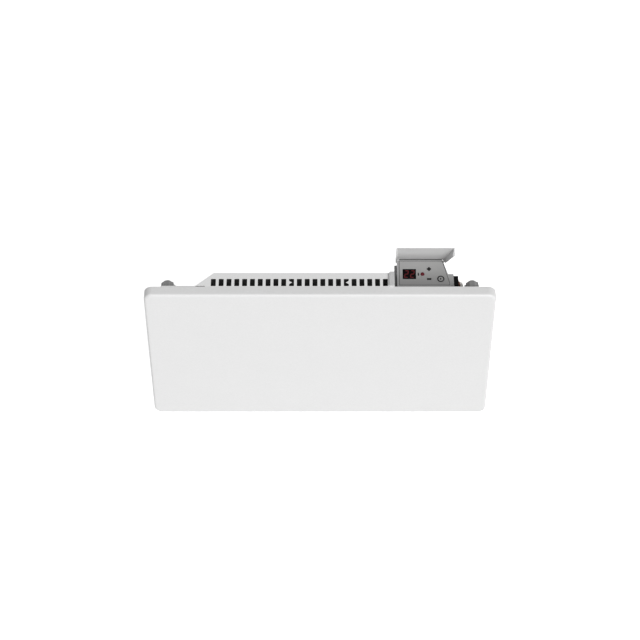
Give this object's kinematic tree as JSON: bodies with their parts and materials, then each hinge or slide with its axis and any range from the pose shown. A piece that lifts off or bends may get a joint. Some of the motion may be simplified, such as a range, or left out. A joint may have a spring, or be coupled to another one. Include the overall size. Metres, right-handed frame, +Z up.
{
  "type": "wall panel convector heater",
  "caption": "Wall-hung electric panel convector with a slotted rear casing, a sloping digital control unit under a hinged lid, and turn locks on a wall bracket.",
  "frame": {"origin": "centre of the wall bracket's back face, on the wall, behind the middle of the front panel", "axes": "+Y points into the wall, +Z up, +X to the right of someone who faces the heater"},
  "size_m": [0.719, 0.089, 0.4578],
  "materials": {
    "white_coat": "fine textured satin powder coat",
    "bracket_white": "satin powder coat",
    "bright_steel": "plain galvanised",
    "zinc_steel": "zinc plated",
    "sheath_steel": "heat-darkened",
    "aluminium": "mill",
    "ceramic": "unglazed",
    "brass": "plain",
    "black_plastic": "fine moulded texture",
    "brown_sleeve": "smooth sleeve",
    "blue_sleeve": "smooth sleeve",
    "green_sleeve": "smooth sleeve",
    "black_sleeve": "smooth sleeve",
    "rubber": "matt",
    "grey_plastic": "fine moulded texture",
    "grey_label": "satin film",
    "display_lens": "dark red filter",
    "red_lens": "clear red",
    "dark_key": "satin",
    "board_green": "solder mask",
    "blue_case": "moulded case",
    "terminal_green": "moulded",
    "light_plastic": "fine moulded texture",
    "lid_plastic": "fine moulded texture",
    "red_rocker": "translucent red",
    "white_plastic": "smooth",
    "knob_grey": "moulded"
  },
  "bodies": {
    "heater": {"front_panel": "white_coat", "rear_cover": "white_coat", "heat_shield": "bright_steel", "cover_screws": "zinc_steel", "element_tube": "sheath_steel", "element_fins": "aluminium", "element_bracket_left": "bright_steel", "element_bracket_right": "bright_steel", "element_rivets": "zinc_steel", "element_insulators": "ceramic", "element_terminals": "brass", "thermal_cutout": "black_plastic", "live_lead": "brown_sleeve", "neutral_lead": "blue_sleeve", "earth_lead": "green_sleeve", "earth_screw": "brass", "lead_grommet": "rubber", "lead_clips": "bright_steel", "room_sensor": "black_plastic", "sensor_lead": "black_sleeve", "control_housing": "grey_plastic", "face_plate": "grey_label", "display_window": "display_lens", "display_module": "black_plastic", "status_led": "red_lens", "control_board": "board_green", "tact_switches": "black_plastic", "board_screws": "zinc_steel", "power_board": "board_green", "power_board_screws": "zinc_steel", "relay": "blue_case", "terminal_block": "terminal_green", "mains_transformer": "black_plastic", "unit_shelf": "bright_steel", "shelf_rivets": "zinc_steel", "unit_screws": "zinc_steel", "unit_trim": "light_plastic", "lid_pins": "zinc_steel", "switch_body": "black_plastic", "switch_terminals": "brass", "cord_inlet": "white_plastic", "bracket_rail_left": "bracket_white", "bracket_rail_right": "bracket_white", "bracket_cross_bar": "bracket_white", "bracket_rivets": "zinc_steel"},
    "lid": {"lid_cover": "lid_plastic"},
    "plus_button": {"plus_key": "dark_key"},
    "minus_button": {"minus_key": "dark_key"},
    "power_button": {"power_key": "grey_label"},
    "rocker": {"switch_rocker": "red_rocker"},
    "left_lock": {"lock_knob_left": "knob_grey", "lock_spindle_left": "zinc_steel", "lock_clip_left": "zinc_steel"},
    "right_lock": {"lock_knob_right": "knob_grey", "lock_spindle_right": "zinc_steel", "lock_clip_right": "zinc_steel"}
  },
  "joints": [
    {"name": "lid_hinge", "type": "hinge", "parent": "heater", "child": "lid", "pos_m": [0.207, -0.00712, 0.20871], "axis": [1, 0, 0], "range_deg": [0, 86]},
    {"name": "plus_press", "type": "slide", "parent": "heater", "child": "plus_button", "axis": [0, 0.2588, -0.9659], "range_m": [0, 0.0006], "stiffness_N_per_m": 1000, "springref_m": -0.0003},
    {"name": "minus_press", "type": "slide", "parent": "heater", "child": "minus_button", "axis": [0, 0.2588, -0.9659], "range_m": [0, 0.0006], "stiffness_N_per_m": 1000, "springref_m": -0.0003},
    {"name": "power_press", "type": "slide", "parent": "heater", "child": "power_button", "axis": [0, 0.2588, -0.9659], "range_m": [0, 0.0006], "stiffness_N_per_m": 1000, "springref_m": -0.0003},
    {"name": "switch_rock", "type": "hinge", "parent": "heater", "child": "rocker", "pos_m": [0.28, -0.03095, 0.16875], "axis": [0, 0, 1], "range_deg": [-24, 0]},
    {"name": "left_lock_turn", "type": "hinge", "parent": "heater", "child": "left_lock", "pos_m": [-0.313, -0.049, 0.1686], "axis": [0, 1, 0], "range_deg": [0, 90]},
    {"name": "right_lock_turn", "type": "hinge", "parent": "heater", "child": "right_lock", "pos_m": [0.313, -0.049, 0.1686], "axis": [0, 1, 0], "range_deg": [0, 90]}
  ]
}
